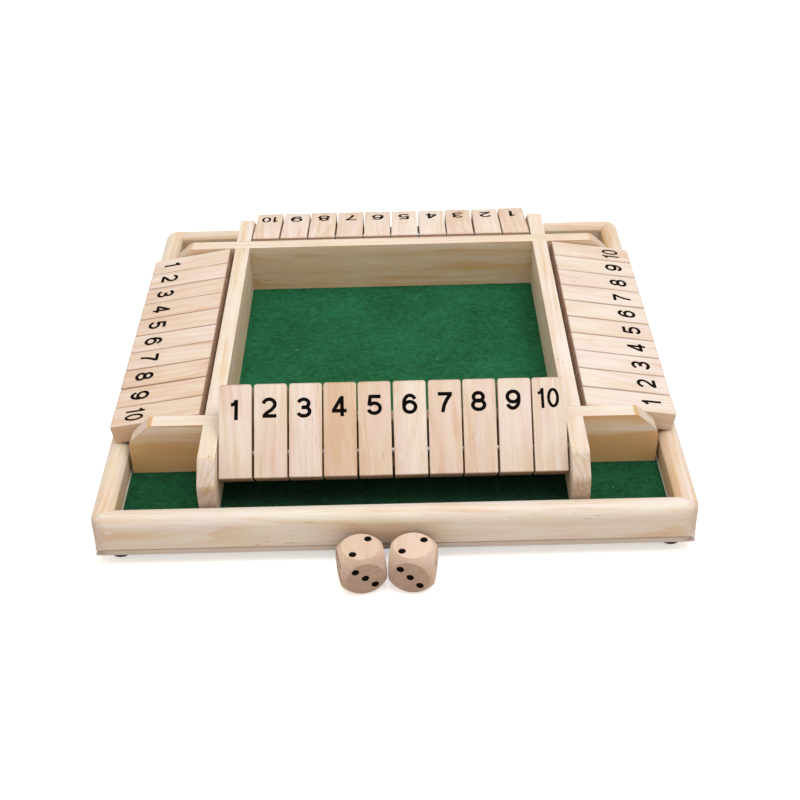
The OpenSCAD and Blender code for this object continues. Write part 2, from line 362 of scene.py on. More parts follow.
def buildWoodGroup():
    group = bpy.data.node_groups.new("woodGrain", "ShaderNodeTree")
    for name, kind in (("Place", "Vector"), ("Tone", "Float"), ("End", "Float"), ("Pale", "Color"),
                       ("Deep", "Color"), ("Rings", "Float"), ("Flecks", "Float"), ("Streaks", "Float")):
        group.interface.new_socket(name, in_out="INPUT", socket_type="NodeSocket" + kind)
    for name, kind in (("Color", "Color"), ("Roughness", "Float"), ("Height", "Float")):
        group.interface.new_socket(name, in_out="OUTPUT", socket_type="NodeSocket" + kind)
    given = group.nodes.new("NodeGroupInput").outputs
    result = group.nodes.new("NodeGroupOutput").inputs
    place = given["Place"]

    def plus(first, second):
        return calc(group, "ADD", first, second)

    def times(first, second):
        return calc(group, "MULTIPLY", first, second)

    def patch(name, where, least=0.0, most=1.0):
        *shape, start, end = woodPatches[name]
        return remap(group, grainNoise(group, where, *shape), start, end, least, most)

    # growth rings: distance from the pith, bent by slow noise along the plank
    slow = vectorCalc(group, "MULTIPLY", place, (0.22, 1, 1))
    wander = noise(group, slow, *woodLook["waverNoise"], "Color")
    wander = vectorCalc(group, "SUBTRACT", wander, (0.5, 0.5, 0.5))
    sway = vectorCalc(group, "MULTIPLY", wander, (0, woodLook["waver"], woodLook["waver"]))
    bent = vectorCalc(group, "ADD", place, sway)
    reach = vectorCalc(group, "LENGTH", vectorCalc(group, "MULTIPLY", bent, (0, 1, 1)), (0, 0, 0))
    slower = vectorCalc(group, "MULTIPLY", place, (0.02, 1, 1))
    uneven = times(noise(group, slower, *woodLook["spreadNoise"]), woodLook["ringSpread"])
    phase = calc(group, "FRACT", plus(calc(group, "DIVIDE", reach, woodLook["ringWidth"]), uneven))
    begins, darkest = woodLook["lateWood"]
    late = times(remap(group, phase, begins, darkest), remap(group, phase, 1.0, darkest))

    # the rings stand out in some places and fade in others, and show most in end grain
    fade = patch("ringFade", place, *woodLook["ringFade"])
    ringShare = times(given["Rings"], plus(fade, times(given["End"], woodLook["endRings"])))
    depth = plus(times(late, ringShare), given["Tone"])

    # fibres, wider streaks of colour, slow blotches, and a slow change of hue
    fibre = grainNoise(group, place, *woodLook["fibreNoise"])
    mottle = plus(patch("streak", bent, *woodLook["streakDepth"]),
                  patch("blotch", bent, *woodLook["blotchDepth"]))
    depth = plus(depth, times(mottle, given["Streaks"]))
    depth = calc(group, "ADD", depth, remap(group, fibre, 0.30, 0.75, *woodLook["fibreDepth"]), clamp=True)
    colour = mixColours(group, depth, given["Pale"], given["Deep"])
    tint = mixColours(group, patch("blush", bent), woodLook["pinkTint"], woodLook["strawTint"])
    colour = mixColours(group, 1.0, colour, tint, "MULTIPLY")

    # short dark resin flecks, only where the second noise lets them through
    fleck = times(patch("fleck", place), patch("cluster", place))
    fleck = calc(group, "MULTIPLY", fleck, given["Flecks"], clamp=True)
    colour = mixColours(group, times(fleck, woodLook["fleckShare"]), colour, woodLook["fleckColour"])

    # end grain is darker and pinker, and open-pored
    pores = noise(group, place, *woodLook["poreNoise"])
    endShare = times(given["End"], remap(group, pores, 0.35, 0.7, *woodLook["poreShare"]))
    endShade = mixColours(group, endShare, (1, 1, 1, 1), woodLook["endTint"])
    colour = mixColours(group, 1.0, colour, endShade, "MULTIPLY")

    relief = woodLook["relief"]
    height = plus(times(fibre, relief["fibre"]), times(late, relief["late"]))
    height = plus(height, times(fleck, relief["fleck"]))
    height = plus(height, times(times(pores, given["End"]), relief["pores"]))
    group.links.new(colour, result["Color"])
    group.links.new(remap(group, fibre, 0.3, 0.7, *woodLook["roughness"]), result["Roughness"])
    group.links.new(height, result["Height"])
    return group


woodGroup = buildWoodGroup()

woods = {
    # pale and deep colour, contrast of rings and of streaks, amount of flecks, height of the bumps
    "pineFrame": {"pale": (0.75, 0.715, 0.69), "deep": (0.62, 0.40, 0.205), "rings": 0.17, "streaks": 0.6,
                  "flecks": 1.0, "bump": 0.05},
    "pineTile": {"pale": (0.735, 0.665, 0.64), "deep": (0.60, 0.42, 0.30), "rings": 0.18, "streaks": 0.9,
                 "flecks": 0.6, "bump": 0.05},
    "basePly": {"pale": (0.61, 0.55, 0.52), "deep": (0.46, 0.37, 0.33), "rings": 0.10, "streaks": 0.8,
                "flecks": 0.3, "bump": 0.06},
    "diceWood": {"pale": (0.70, 0.57, 0.49), "deep": (0.54, 0.39, 0.30), "rings": 0.10, "streaks": 0.8,
                 "flecks": 0.6, "bump": 0.03},
}


def makeWood(kind):
    look = woods[kind]
    material, tree, shader = newMaterial(kind)
    grain = tree.nodes.new("ShaderNodeGroup")
    grain.node_tree = woodGroup
    feed(tree, grain.inputs["Place"], attribute(tree, "grainPlace", "Vector"))
    feed(tree, grain.inputs["Tone"], attribute(tree, "plankTone"))
    feed(tree, grain.inputs["End"], attribute(tree, "endGrain"))
    grain.inputs["Pale"].default_value = (*look["pale"], 1)
    grain.inputs["Deep"].default_value = (*look["deep"], 1)
    for name in ("Rings", "Flecks", "Streaks"):
        grain.inputs[name].default_value = look[name.lower()]
    tree.links.new(grain.outputs["Color"], shader.inputs["Base Color"])
    tree.links.new(grain.outputs["Roughness"], shader.inputs["Roughness"])
    shader.inputs["Specular IOR Level"].default_value = woodLook["specular"]
    addBump(tree, shader, grain.outputs["Height"], look["bump"] * mm)
    return material


pineFrame = makeWood("pineFrame")
pineTile = makeWood("pineTile")
basePly = makeWood("basePly")
diceWood = makeWood("diceWood")
print("woods mixed")


feltLook = {
    "dark": (0.003, 0.050, 0.017, 1), "light": (0.013, 0.140, 0.057, 1), "lint": (0.12, 0.26, 0.18, 1),
    # painted shade: darker outside the tray, in the corner wells, and most in the troughs under the tiles
    "paintedWellShade": (0.62, 0.66, 0.66, 1), "paintedTroughShade": (0.62, 0.36, 0.42, 1),
    "wellsFrom": 69.0, "wellsEase": 1.0,   # from the middle, and how wide the change is
    "swirl": 6.0, "swirlScale": 180,       # how far the fibres are bent, and turns per metre
    # patterns of the nap: scale per metre, detail, roughness, and how much each shows
    "pressed": (650, 4, 0.7, 0.75), "tufts": (1700, 3, 0.7, 0.35), "patches": (45, 2, 0.5, 0.25),
    "contrast": (0.47, 0.87),              # values between which the light colour comes in
    "lintScale": 900, "lintShows": (0.87, 0.90),
    "bump": 0.35,
    "sockets": {"Roughness": 0.95, "Specular IOR Level": 0.15, "Sheen Weight": 0.04,
                "Sheen Roughness": 0.6, "Sheen Tint": (0.35, 0.75, 0.5, 1)},
}


def makeFelt():
    material, tree, shader = newMaterial("greenFelt")
    place = tree.nodes.new("ShaderNodeTexCoord").outputs["Object"]
    reach = feltLook["swirl"] * mm
    turns = noise(tree, place, feltLook["swirlScale"], 2, 0.5, "Color")
    swirl = vectorCalc(tree, "SUBTRACT", turns, (0.5, 0.5, 0.5))
    bent = vectorCalc(tree, "ADD", place, vectorCalc(tree, "MULTIPLY", swirl, (reach, reach, 0)))
    combed = vectorCalc(tree, "MULTIPLY", bent, (0.7, 1.4, 1))
    shade = 0.0
    for where, name in ((combed, "pressed"), (bent, "tufts"), (place, "patches")):
        *shape, share = feltLook[name]
        shade = calc(tree, "ADD", shade, calc(tree, "MULTIPLY", noise(tree, where, *shape), share))
    contrast = remap(tree, shade, *feltLook["contrast"])
    colour = mixColours(tree, contrast, feltLook["dark"], feltLook["light"])

    # how far each point is from the middle of the box, to the side and to the front or back
    offset = vectorCalc(tree, "ABSOLUTE", vectorCalc(tree, "SUBTRACT", place, boxCentre), (0, 0, 0))
    split = tree.nodes.new("ShaderNodeSeparateXYZ")
    tree.links.new(offset, split.inputs["Vector"])
    outX, outY = split.outputs["X"], split.outputs["Y"]
    start, end = feltLook["wellsFrom"] * mm, (feltLook["wellsFrom"] + feltLook["wellsEase"]) * mm
    outside = remap(tree, calc(tree, "MAXIMUM", outX, outY), start, end)
    inWell = remap(tree, calc(tree, "MINIMUM", outX, outY), start, end)
    # painted shade: the felt colour is deeper in the corner wells and troughs, and unchanged inside the
    # tray
    shadow = mixColours(tree, inWell, feltLook["paintedTroughShade"], feltLook["paintedWellShade"])
    shadow = mixColours(tree, outside, (1, 1, 1, 1), shadow)
    colour = mixColours(tree, 1.0, colour, shadow, "MULTIPLY")
    lint = remap(tree, noise(tree, place, feltLook["lintScale"], 0), *feltLook["lintShows"])
    colour = mixColours(tree, lint, colour, feltLook["lint"])
    tree.links.new(colour, shader.inputs["Base Color"])
    for name, value in feltLook["sockets"].items():
        shader.inputs[name].default_value = value
    addBump(tree, shader, shade, feltLook["bump"] * mm)
    return material


steelLook = {"colours": ((0.52, 0.53, 0.55, 1), (0.70, 0.70, 0.71, 1)),
             "roughness": (0.38, 0.56), "specular": 0.5, "metallic": 1.0, "bump": 0.01}
rubberLook = {"colours": ((0.012, 0.012, 0.013, 1), (0.035, 0.034, 0.033, 1)),
              "roughness": (0.62, 0.8), "specular": 0.5, "metallic": 0.0, "bump": 0.04}
inkLook = {"colours": ((0.003, 0.002, 0.002, 1), (0.05, 0.035, 0.025, 1)),
           "roughness": (0.7, 0.85), "specular": 0.05, "metallic": 0.0, "bump": 0.02}


def dressPlain(tree, shader, look, share, grit):
    # two colours mixed by one noise; roughness and bumps follow another
    tree.links.new(mixColours(tree, share, *look["colours"]), shader.inputs["Base Color"])
    tree.links.new(remap(tree, grit, 0.3, 0.7, *look["roughness"]), shader.inputs["Roughness"])
    shader.inputs["Specular IOR Level"].default_value = look["specular"]
    shader.inputs["Metallic"].default_value = look["metallic"]
    addBump(tree, shader, grit, look["bump"] * mm)


def makeSteel():
    material, tree, shader = newMaterial("drawnSteel")
    place = attribute(tree, "grainPlace", "Vector")
    lines = grainNoise(tree, place, 0.05, 9, 2)
    dressPlain(tree, shader, steelLook, grainNoise(tree, place, 0.2, 0.5, 2), lines)
    return material


def makeRubber():
    material, tree, shader = newMaterial("blackRubber")
    place = tree.nodes.new("ShaderNodeTexCoord").outputs["Object"]
    dressPlain(tree, shader, rubberLook, noise(tree, place, 300, 2), noise(tree, place, 2600, 3))
    return material


def makeInk():
    # the wood's fibres show through the print a little
    material, tree, shader = newMaterial("blackInk")
    fibre = grainNoise(tree, attribute(tree, "grainPlace", "Vector"), 0.12, 2.2, 3, 0.6)
    dressPlain(tree, shader, inkLook, remap(tree, fibre, 0.66, 0.80), fibre)
    return material


greenFelt = makeFelt()
drawnSteel = makeSteel()
blackRubber = makeRubber()
blackInk = makeInk()
print("felt, steel, rubber and ink mixed")


def finishPiece(piece, material, slot, body, *nodes, place=None, angle=35):
    # brings a piece to its place and says what it is; edges sharper than the angle stay sharp
    bakePlace(piece, place)
    bpy.ops.object.shade_smooth_by_angle(angle=math.radians(angle))
    piece.data.materials.clear()
    piece.data.materials.append(material)
    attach(piece, body)
    if nodes:
        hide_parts(*nodes)


board = {"lip": 2.5, "cornerRound": 6.4, "edgeRound": 0.4, "grainSeed": 5, "tone": 0.05}


def buildBoard():
    lipTop = boardLow.z + board["lip"] * mm
    piece = addBlock("base_board_ply", boardLow, (boardHigh.x, boardHigh.y, lipTop))
    setMode("EDIT")
    pick(piece, "FACE", facesUp)
    bpy.ops.mesh.inset(thickness=boardHigh.x + railInner, depth=0)
    extrudeBy(0, 0, boardHigh.z - lipTop)
    setMode("OBJECT")
    atEdge = lambda end: near(abs(end.x), boardHigh.x)
    roundEdges(piece, [
        (lambda a, b: atEdge(a) and atEdge(b) and not near(a.z, b.z), board["cornerRound"]),
        (both(atEdge), board["edgeRound"])], segments=5)
    giveGrain(piece, "x", board["grainSeed"], board["tone"])
    finishPiece(piece, basePly, "base_wood", "box", "base_board")


felt = {"cells": 150, "fuzz": 0.22, "fuzzSize": 1.6, "fuzzMiddle": 0.75, "flatRim": 0.1}


def buildFelt():
    # a fine grid on top, pressed uneven, over a flat underside
    clearSelection()
    size = feltHigh.x - feltLow.x
    bpy.ops.mesh.primitive_grid_add(
        x_subdivisions=felt["cells"], y_subdivisions=felt["cells"], size=size,
        location=(boxCentre.x, boxCentre.y, feltHigh.z))
    piece = bakePlace(nameIt(bpy.context.object, "felt_lining"))
    fuzzy = piece.vertex_groups.new(name="fuzzy")
    rim = size / 2 - felt["flatRim"] * mm
    inside = [vertex.index for vertex in piece.data.vertices
              if abs(vertex.co.x) < rim and abs(vertex.co.y - boxCentre.y) < rim]
    fuzzy.add(inside, 1.0, "REPLACE")
    nap = bpy.data.textures.new("feltNap", "CLOUDS")
    nap.noise_scale = felt["fuzzSize"] * mm
    nap.noise_depth = 2
    applyModifier(piece, "DISPLACE", texture=nap, vertex_group="fuzzy", strength=felt["fuzz"] * mm,
                  mid_level=felt["fuzzMiddle"])
    setMode("EDIT")
    bpy.ops.mesh.select_all(action="SELECT")
    extrudeBy(0, 0, feltLow.z - feltHigh.z)
    bpy.ops.transform.resize(value=(1, 1, 0), center_override=(boxCentre.x, boxCentre.y, feltLow.z))
    closeShape()
    finishPiece(piece, greenFelt, "felt", "box", "felt", angle=60)


foot = {"inset": 8.8, "edgeRound": 0.7, "rimWidth": 1.4, "hollow": 0.5}


def buildFeet():
    out = railOuter - foot["inset"] * mm
    radius = feetHigh.x - boxCentre.x - out
    height = feetHigh.z - feetLow.z
    feet = []
    for x in (-out, out):
        for y in (-out, out):
            pad = addPin("pad", (boxCentre.x + x, boxCentre.y + y, height / 2), radius, height, vertices=40)
            setMode("EDIT")
            pick(pad, "FACE", facesDown)
            bpy.ops.mesh.inset(thickness=foot["rimWidth"] * mm, depth=0)
            bpy.ops.transform.translate(value=(0, 0, foot["hollow"] * mm))
            setMode("OBJECT")
            centre = boxCentre.xy + Vector((x, y))
            rim = lambda end: near(end.z, 0) and near((end.xy - centre).length, radius)
            roundEdges(pad, [(both(rim), foot["edgeRound"])], segments=4)
            feet.append(pad)
    finishPiece(joinPieces(feet, "rubber_feet"), blackRubber, "rubber", "box", "feet")


buildBoard()
buildFelt()
buildFeet()
print("base, felt and feet ready")


rail = {
    "crown": 4.2,       # from the inner face to the highest line
    "innerDrop": 1.95,  # the inner edge lies this far below it
    "easeSteps": 4,     # flats that make up the gentle rise between them
    "outerRound": 4.3, "cornerRound": 7.0, "footRound": 1.5, "innerRound": 0.25, "mitreRound": 0.12,
    "grainSeed": 11,
    # how deep the colour is at the outer and at the inner side; the inner sides of the left, back and right
    # rails are deeper as painted shade on their inner slopes
    "tones": {"front": (0.14, 0.07), "left": (0.13, 0.45), "back": (0.14, 0.45), "right": (0.12, 0.70)},
}


def buildRail():
    # the whole frame is shaped first, so that its round edges run round the corners, and
    # then a quarter of it is cut out along the mitres
    half, low, high = railOuter, railLow.z, railHigh.z
    width = half + railInner
    crown, drop = rail["crown"] * mm, rail["innerDrop"] * mm
    piece = addBlock("railMaster", (-half, -half, low), (half, half, high))
    setMode("EDIT")
    pick(piece, "FACE", facesDown)
    bpy.ops.mesh.inset(thickness=width, depth=0)
    pick(piece, "FACE", facesUp)
    bpy.ops.mesh.inset(thickness=width - crown, depth=0)
    # the rise is part of a circle: fall is how far each flat's edge lies below the highest line
    sweep = (crown * crown + drop * drop) / (2 * drop)
    fall = lambda step: sweep - math.sqrt(sweep ** 2 - (crown * step / rail["easeSteps"]) ** 2)
    for step in range(rail["easeSteps"]):
        bpy.ops.mesh.inset(thickness=crown / rail["easeSteps"], depth=fall(step) - fall(step + 1))
    # the two faces in the middle are bridged, which opens the frame
    pick(piece, "FACE", lambda face: face.calc_center_median().xy.length < width)
    bpy.ops.mesh.bridge_edge_loops()
    setMode("OBJECT")
    atCorner = lambda end: near(abs(end.x), half) and near(abs(end.y), half)
    atInner = lambda end: near(abs(end.x), -railInner) and end.z > (low + high) / 2
    roundEdges(piece, [
        (both(lambda end: atCorner(end) and near(end.z, high)), rail["outerRound"]),
        (both(lambda end: atCorner(end) and near(end.z, low)), rail["footRound"]),
        (both(atCorner), rail["cornerRound"]),
        (both(atInner), rail["innerRound"])], segments=8)
    setMode("EDIT")
    cutByPlane((0, 0, 0), (-1, 1, 0))
    cutByPlane((0, 0, 0), (1, 1, 0))
    setMode("OBJECT")
    onMitre = lambda end: near(abs(end.x), -end.y)
    oneMitre = lambda a, b: onMitre(a) and onMitre(b) and a.x * b.x > 0
    roundEdges(piece, [(oneMitre, rail["mitreRound"])], segments=2)
    return piece


def placeRails():
    master = buildRail()
    for number, side in enumerate(sides):
        node = "rail_" + side
        piece = copyPiece(master, node + "_pine")
        outer, inner = rail["tones"][side]
        # painted shade: the colour deepens across the rail from the outer towards the inner side
        across = lambda spot: (spot.y + railOuter) / (railOuter + railInner)
        toneWithPaintedShade = lambda spot: outer + (inner - outer) * across(spot)
        giveGrain(piece, "x", rail["grainSeed"] + number, toneWithPaintedShade)
        finishPiece(piece, pineFrame, "pine_frame", "box", node, place=sidePlace(side), angle=30)
    bpy.data.objects.remove(master)


placeRails()
print("rails ready")


divider = {
    "cutLength": 8.4, "cutHeight": 7.6, "cutRound": 4.0,
    "slopeSlack": 0.02,   # a point this much of the cut off its line is still on the slope
    "topRound": 0.8, "endRound": 0.45, "lapPlay": 0.1,
    "rodDepth": 4.0,
    "grainSeed": 31,
    # how deep the colour of the rim and of the broad faces is; the broad faces are deeper as painted shade
    # on the walls
    "tones": {"front": (0.20, 1.0), "left": (0.18, 0.42), "back": (0.26, 0.55), "right": (0.19, 0.22)},
}


def buildDivider(notchFromBelow):
    # the outline is drawn flat on the inner face, then given its thickness
    end, low, high = dividerHigh.x, dividerLow.z, dividerHigh.z
    cutX, cutZ = divider["cutLength"] * mm, divider["cutHeight"] * mm
    cutTurn = math.atan2(cutZ, cutX)
    clearSelection()
    bpy.ops.mesh.primitive_plane_add(size=1, rotation=(math.radians(90), 0, 0))
    piece = bakePlace(nameIt(bpy.context.object, "dividerMaster"))
    setMode("EDIT")
    for corner in bmesh.from_edit_mesh(piece.data).verts:
        corner.co = (math.copysign(end, corner.co.x), dividerInner, low if corner.co.z < 0 else high)
    bmesh.update_edit_mesh(piece.data)
    for hand in (-1, 1):
        cutByPlane((hand * (end - cutX), 0, high), (hand * cutZ, 0, cutX))
    for turn, test in (
            (cutTurn, lambda co: near(abs(co.x), end - cutX) and near(co.z, high)),
            (math.pi / 2 - cutTurn, lambda co: near(abs(co.x), end) and near(co.z, high - cutZ))):
        pick(piece, "VERT", lambda corner: test(corner.co))
        trim = divider["cutRound"] * mm * math.tan(turn / 2)
        bpy.ops.mesh.bevel(offset=trim, segments=6, affect="VERTICES", clamp_overlap=False)
    bpy.ops.mesh.select_all(action="SELECT")
    extrudeBy(0, dividerOuter - dividerInner, 0)
    closeShape()
    roundEdges(piece, [
        (lambda a, b: not near(a.y, b.y), 0),
        (both(lambda end: near(end.z, low)), 0),
        (both(lambda end: near(end.z, high)), divider["topRound"]),
        (anyEdge, divider["endRound"])], segments=4)
    # half-lap notches where it crosses its neighbours, and the sockets of their rods
    middle = (dividerInner + dividerOuter) / 2
    halfNotch = (dividerInner - dividerOuter + divider["lapPlay"] * mm) / 2
    notchHeight = (high - low + divider["lapPlay"] * mm) / 2
    past = 2 * mm
    depth = divider["rodDepth"] * mm
    for hand in (-1, 1):
        x = hand * middle
        bottom = low - past if notchFromBelow else high - notchHeight
        top = low + notchHeight if notchFromBelow else high + past
        combine(piece, addBlock("notch", (x - halfNotch, dividerOuter - past, bottom),
                                (x + halfNotch, dividerInner + past, top)))
        socketPlace = (hand * rodY, dividerInner - (depth - past) / 2, rodZ)
        combine(piece, addPin("socket", socketPlace, rodRadius, depth + past, (90, 0, 0), 24))
    return piece


def onRim(place):
    # on the top edge, on an end or on the slope between them
    fromEnd, fromTop = dividerHigh.x - abs(place.x), dividerHigh.z - place.z
    share = fromEnd / (divider["cutLength"] * mm) + fromTop / (divider["cutHeight"] * mm)
    return min(fromEnd, fromTop) < closeEnough or abs(share - 1) < divider["slopeSlack"]


def placeDividers():
    masters = {True: buildDivider(True), False: buildDivider(False)}
    for number, side in enumerate(sides):
        node = "divider_" + side
        piece = copyPiece(masters[side in ("front", "back")], node + "_pine")
        top, face = divider["tones"][side]
        # painted shade: the broad faces are deeper in colour than the rim
        toneWithPaintedShade = lambda spot: top if onRim(spot) else face
        giveGrain(piece, "x", divider["grainSeed"] + number, toneWithPaintedShade)
        finishPiece(piece, pineFrame, "pine_frame", "box", node, place=sidePlace(side), angle=30)
    for master in masters.values():
        bpy.data.objects.remove(master)


placeDividers()
print("dividers ready")


rod = {"endRound": 0.25, "grainSeed": 51}


def placeRods():
    length = rodHigh.x - rodLow.x
    for number, side in enumerate(sides):
        node = "rod_" + side
        piece = addPin(node + "_steel", (0, rodY, rodZ), rodRadius, length, (0, 90, 0), 32)
        roundEdges(piece, [(lambda a, b: near(a.x, b.x), rod["endRound"])], segments=3)
        giveGrain(piece, "x", rod["grainSeed"] + number, 0.0)
        finishPiece(piece, drawnSteel, "steel", "box", node, place=sidePlace(side), angle=40)


placeRods()
print("rods ready")


tile = {
    "head": 26.2, "tail": 10.1,   # from the rod's axis to the number end and to the other
    "thick": 8.2,
    "headRound": 1.2, "cornerRound": 1.2, "tailRound": 0.5, "sideRound": 0.45,
    "bore": 2.6,
    "slopeIn": 42.80, "slopeOut": 8.97,   # how it lies, from level, in degrees
    "leansIn": "front",
    "lean": 5,        # the grain may lean this many degrees
    "gapShadeTone": 0.5, "tailShadeTone": 0.9,   # painted shade: the sides, in the gaps between tiles, and the tail end are deeper in colour
    "tilt": 0.4, "yaw": 0.35, "slide": 0.12,   # no tile sits quite straight: the first two are degrees
    "grainSeed": 100, "placeSeed": 2000,
    # how deep the colour of each tile from 1 to 10 is: it differs from tile to tile, and the right row is
    # paler in part as painted light falling from the right
    "tones": {
        "front": (0.22, 0.24, 0.12, 0.76, 0.48, 0.18, 0.52, 0.42, 0.25, 0.26),
        "left": (0.28, 0.22, 0.45, 0.36, 0.40, 0.24, 0.30, 0.47, 0.44, 0.46),
        "back": (0.40, 0.17, 0.42, 0.06, 0.05, 0.24, 0.32, 0.28, 0.14, 0.32),
        "right": (0.0, 0.0, 0.04, 0.07, 0.16, 0.06, 0.08, 0.15, 0.14, 0.28),
    },
}

ink = {
    "stroke": 1.42, "strokeTen": 1.15,   # width of a digit's lines
    "size": (1.06, 1.08),    # of the strokes below, across and upwards
    "height": 8.1,           # of a number
    "squash": 0.045,         # an ink line is this much of its width thick
    "fromHeadIn": 5.5,       # from the number end to the digit, on the face that shows when it leans in
    "fromHeadOut": 5.4,      # and on the other face
    "shift": -0.15,          # the digits stand a little to the player's left
    "slip": 0.2, "slant": 1.2,   # how far a number may be out of place, and turned in degrees
    "seed": 1000,
    "ten": {"1": (0.85, -2.75), "0": (0.76, 1.75)},   # width and place of the digits of 10
    # how far the digits of the row that leans in are to the right, and away from the number end
    "slipsIn": ((0, 0.5), (-0.3, -0.1), (-0.45, 0.2), (-0.1, 0), (0.15, -0.2),
                (0.15, -0.3), (0.15, -0.6), (-0.15, -0.7), (-0.4, -0.9), (0, -1.3)),
}


def buildTile():
    # lies flat along Y, with the rod's axis through the origin and the number end towards -Y
    half = tileWidth / 2
    head, tail, thick = -tile["head"] * mm, tile["tail"] * mm, tile["thick"] / 2 * mm
    piece = addBlock("tileMaster", (-half, head, -thick), (half, tail, thick))
    atHead = both(lambda end: near(end.y, head))
    atTail = both(lambda end: near(end.y, tail))
    roundEdges(piece, [
        (lambda a, b: atHead(a, b) and near(a.z, b.z), tile["headRound"]),
        (lambda a, b: atTail(a, b) and near(a.z, b.z), tile["tailRound"]),
        (atHead, tile["cornerRound"]),
        (anyEdge, tile["sideRound"])], segments=4)
    combine(piece, addPin("bore", (0, 0, 0), tile["bore"] / 2 * mm, 2 * tileWidth, (0, 90, 0), 32))
    return piece


def bow(x, y, acrossR, upR, start, end, steps=14):
    # points on part of an ellipse, by angle in degrees
    angles = [math.radians(start + (end - start) * i / steps) for i in range(steps + 1)]
    return [(x + acrossR * math.cos(a), y + upR * math.sin(a)) for a in angles]


def ring(x, y, acrossR, upR):
    return bow(x, y, acrossR, upR, 0, 350, 35)


# Each digit is a few strokes, given by the middle of the line, about the digit's centre.
# A stroke that begins with "ring" closes on itself.
six = [("ring", ring(0, -1.12, 2.05, 1.88)),
       ("line", bow(0.12, -0.05, 2.18, 3.05, 32, 196, 18))]
digitStrokes = {
    "0": [("ring", ring(0, 0, 2.1, 2.98))],
    "1": [("line", [(0.55, 3.6), (0.55, -3.6)]),
          ("line", [(-1.35, 1.80), (-0.75, 1.88), (-0.1, 2.2), (0.35, 2.85), (0.45, 3.4)])],
    "2": [("line", bow(0, 1.2, 2.05, 1.8, 172, -32)
           + [(0.85, -0.75), (-0.75, -1.80), (-1.55, -2.6), (-1.72, -3.1)]),
          ("line", [(-2.35, -2.98), (2.6, -2.98)])],
    "3": [("line", bow(-0.05, 1.50, 1.85, 1.48, 165, -90) + [(-0.85, 0.02)]),
          ("line", bow(-0.05, -1.42, 2.1, 1.56, 100, -165, 18))],
    "4": [("line", [(1.0, 3.6), (1.0, -3.6)]),
          ("line", [(0.85, 3.15), (-2.05, -1.5)]),
          ("line", [(-2.6, -1.62), (2.6, -1.62)])],
    "5": [("line", [(-1.95, 2.98), (2.25, 2.98)]),
          ("line", [(-1.42, 3.3), (-1.85, -0.25)]),
          ("line", bow(-0.02, -1.2, 2.1, 1.80, 148, -165, 20))],
    "6": six,
    "7": [("line", [(-2.45, 2.98), (2.6, 2.98)]),
          ("line", [(2.1, 2.85), (0.75, 1.0), (-0.25, -1.1), (-0.75, -3.6)])],
    "8": [("ring", ring(0, 1.5, 1.72, 1.48)),
          ("ring", ring(0, -1.36, 2.1, 1.62))],
    "9": [(kind, [(-x, -y) for x, y in points]) for kind, points in six],
}


def buildStroke(kind, points, squeeze, shift, width):
    line = bpy.data.curves.new("stroke", "CURVE")
    line.dimensions = "3D"
    line.bevel_depth = width / 2 * mm
    line.bevel_resolution = 2
    line.use_fill_caps = True
    spline = line.splines.new("POLY")
    spline.points.add(len(points) - 1)
    for spot, (x, y) in zip(spline.points, points):
        spot.co = ((x * squeeze * ink["size"][0] + shift) * mm, y * ink["size"][1] * mm, 0, 1)
    spline.use_cyclic_u = kind == "ring"
    makeActive(addObject("stroke", line))
    bpy.ops.object.convert(target="MESH")
    return bpy.context.object


def buildDigit(digit, squeeze=1.0, shift=0.0, width=ink["stroke"]):
    # the strokes are welded into one line, and the digits stay round until they are pressed flat
    strokes = [buildStroke(kind, points, squeeze, shift, width) for kind, points in digitStrokes[digit]]
    for other in strokes[1:]:
        combine(strokes[0], other, "UNION")
    return strokes[0]


def buildNumber(number):
    if number == 10:
        digits = [buildDigit(digit, *shape, ink["strokeTen"]) for digit, shape in ink["ten"].items()]
    else:
        digits = [buildDigit(str(number))]
    piece = joinPieces(digits, "numberMaster")
    piece.scale.z = ink["squash"]
    return bakePlace(piece)


def drawFor(seed, side, number):
    # every tile has random draws of its own
    return random.Random(seed + 20 * sides.index(side) + number)


def tilePlace(side, number):
    # from the master's place to the tile's own on its rod
    slope = tile["slopeIn"] - 180 if side == tile["leansIn"] else tile["slopeOut"]
    draw = drawFor(tile["placeSeed"], side, number)
    tilt = math.radians(slope + draw.uniform(-1, 1) * tile["tilt"])
    yaw = math.radians(draw.uniform(-1, 1) * tile["yaw"])
    x = (number - middleTile) * tilePitch + draw.uniform(-1, 1) * tile["slide"] * mm
    return (sidePlace(side) @ Matrix.Translation((x, rodY, rodZ))
            @ Matrix.Rotation(tilt, 4, "X") @ Matrix.Rotation(yaw, 4, "Z"))


def printNumber(master, side, number):
    # the number is on both faces, its top towards the middle of the box either way
    draw = drawFor(ink["seed"], side, number)
    half = ink["height"] / 2
    faces = []
    for flip, fromHead in ((0, ink["fromHeadOut"]), (180, ink["fromHeadIn"])):
        copy = copyPiece(master, "print")
        slipX, slipY = draw.uniform(-1, 1) * ink["slip"], draw.uniform(-1, 1) * ink["slip"]
        if flip and side == tile["leansIn"]:
            slipX, slipY = ink["slipsIn"][number - 1]
        slant = math.radians(draw.uniform(-ink["slant"], ink["slant"]))
        height = tile["thick"] / 2 * (1 if flip == 0 else -1)
        copy.rotation_euler = (math.radians(flip), 0, slant)
        copy.location = Vector((ink["shift"] + slipX, fromHead + half - tile["head"] + slipY, height)) * mm
        faces.append(bakePlace(copy))
    return joinPieces(faces, "number_" + side + "_" + str(number))


def gapAndTailShadeTone(place):
    # painted shade: how much deeper the colour is on the sides, in the gaps between tiles, and on the tail
    # end
    onSide = near(abs(place.x), tileWidth / 2)
    onTail = near(place.y, tile["tail"] * mm)
    return tile["gapShadeTone"] * onSide + tile["tailShadeTone"] * onTail


